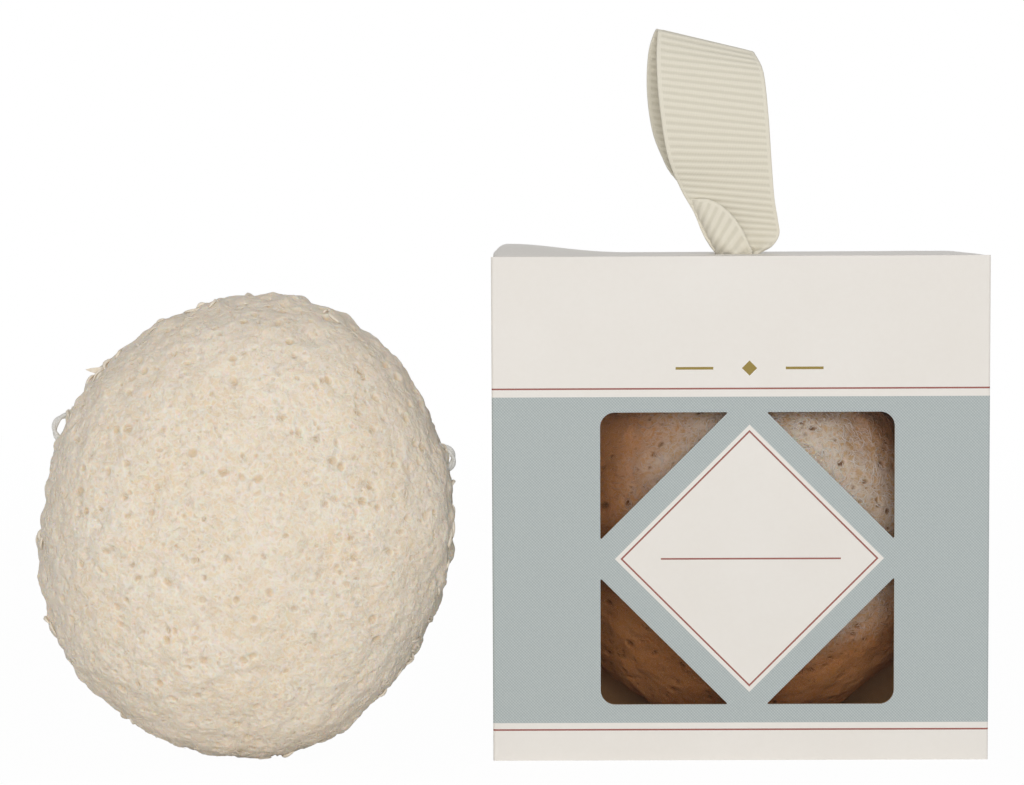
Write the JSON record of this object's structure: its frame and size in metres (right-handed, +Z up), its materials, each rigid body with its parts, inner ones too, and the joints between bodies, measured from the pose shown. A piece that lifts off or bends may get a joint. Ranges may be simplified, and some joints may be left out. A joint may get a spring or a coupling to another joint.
{
  "type": "konjac sponge",
  "caption": "Half-ball konjac face sponge on a cotton string, with a twin in its windowed carton that has a hinged tuck lid, dust flaps and a ribbon hanging loop.",
  "frame": {"origin": "middle of the carton's bottom, on the surface that it stands on", "axes": "+X to the carton's right seen from its front, -Y out of its front, +Z up"},
  "size_m": [0.1582, 0.0644, 0.1221],
  "materials": {
    "foam": "matt open foam",
    "string": "twisted cotton",
    "printed_board": "matt print",
    "board": "matt board",
    "film": "clear film",
    "ribbon": "rib-woven ribbon"
  },
  "bodies": {
    "carton": {"front_panel": "printed_board", "back_panel": "board", "left_side_panel": "board", "right_side_panel": "board", "glue_flap": "board", "window_film": "film", "bottom_panel": "board", "bottom_inner_panel": "board", "bottom_left_flap": "board", "bottom_right_flap": "board"},
    "lid": {"lid_panel": "board"},
    "tuck": {"tuck_flap": "board"},
    "left_dust": {"left_dust_flap": "board"},
    "right_dust": {"right_dust_flap": "board"},
    "ribbon_neck": {"ribbon_knot": "ribbon"},
    "ribbon": {"ribbon_loop": "ribbon"},
    "loose": {"loose_sponge": "foam", "loose_sponge_string": "string"},
    "boxed": {"boxed_sponge": "foam", "boxed_sponge_string": "string"}
  },
  "joints": [
    {"name": "lid_hinge", "type": "hinge", "parent": "carton", "child": "lid", "pos_m": [0, 0.02275, 0.08325], "axis": [-1, 0, 0], "range_deg": [0, 120]},
    {"name": "tuck_crease", "type": "hinge", "parent": "lid", "child": "tuck", "pos_m": [0, -0.0221, 0.08325], "axis": [1, 0, 0], "range_deg": [0, 50], "stiffness_Nm_per_rad": 0.0005},
    {"name": "left_dust_crease", "type": "hinge", "parent": "carton", "child": "left_dust", "pos_m": [-0.04073, 0, 0.0826], "axis": [0, -1, 0], "range_deg": [0, 60]},
    {"name": "right_dust_crease", "type": "hinge", "parent": "carton", "child": "right_dust", "pos_m": [0.04073, 0, 0.0826], "axis": [0, 1, 0], "range_deg": [0, 60]},
    {"name": "ribbon_swivel", "type": "hinge", "parent": "lid", "child": "ribbon_neck", "pos_m": [0.0003, 0, 0.0835], "axis": [0, 0, 1], "range_deg": [-60, 60]},
    {"name": "ribbon_flop", "type": "hinge", "parent": "ribbon_neck", "child": "ribbon", "pos_m": [0.0003, 0, 0.0848], "axis": [0.9781, 0.2079, 0], "range_deg": [-45, 45], "stiffness_Nm_per_rad": 0.001},
    {"name": "loose_sponge_lift", "type": "slide", "parent": "carton", "child": "loose", "axis": [0, 0, 1], "range_m": [0, 0.1]},
    {"name": "boxed_sponge_shift", "type": "slide", "parent": "carton", "child": "boxed", "axis": [1, 0, 0], "range_m": [-0.0025, 0.0025]}
  ],
  "couplings": [
    {"joint": "left_dust_crease", "follows": "lid_hinge", "ratio": 0.5},
    {"joint": "right_dust_crease", "follows": "lid_hinge", "ratio": 0.5}
  ]
}
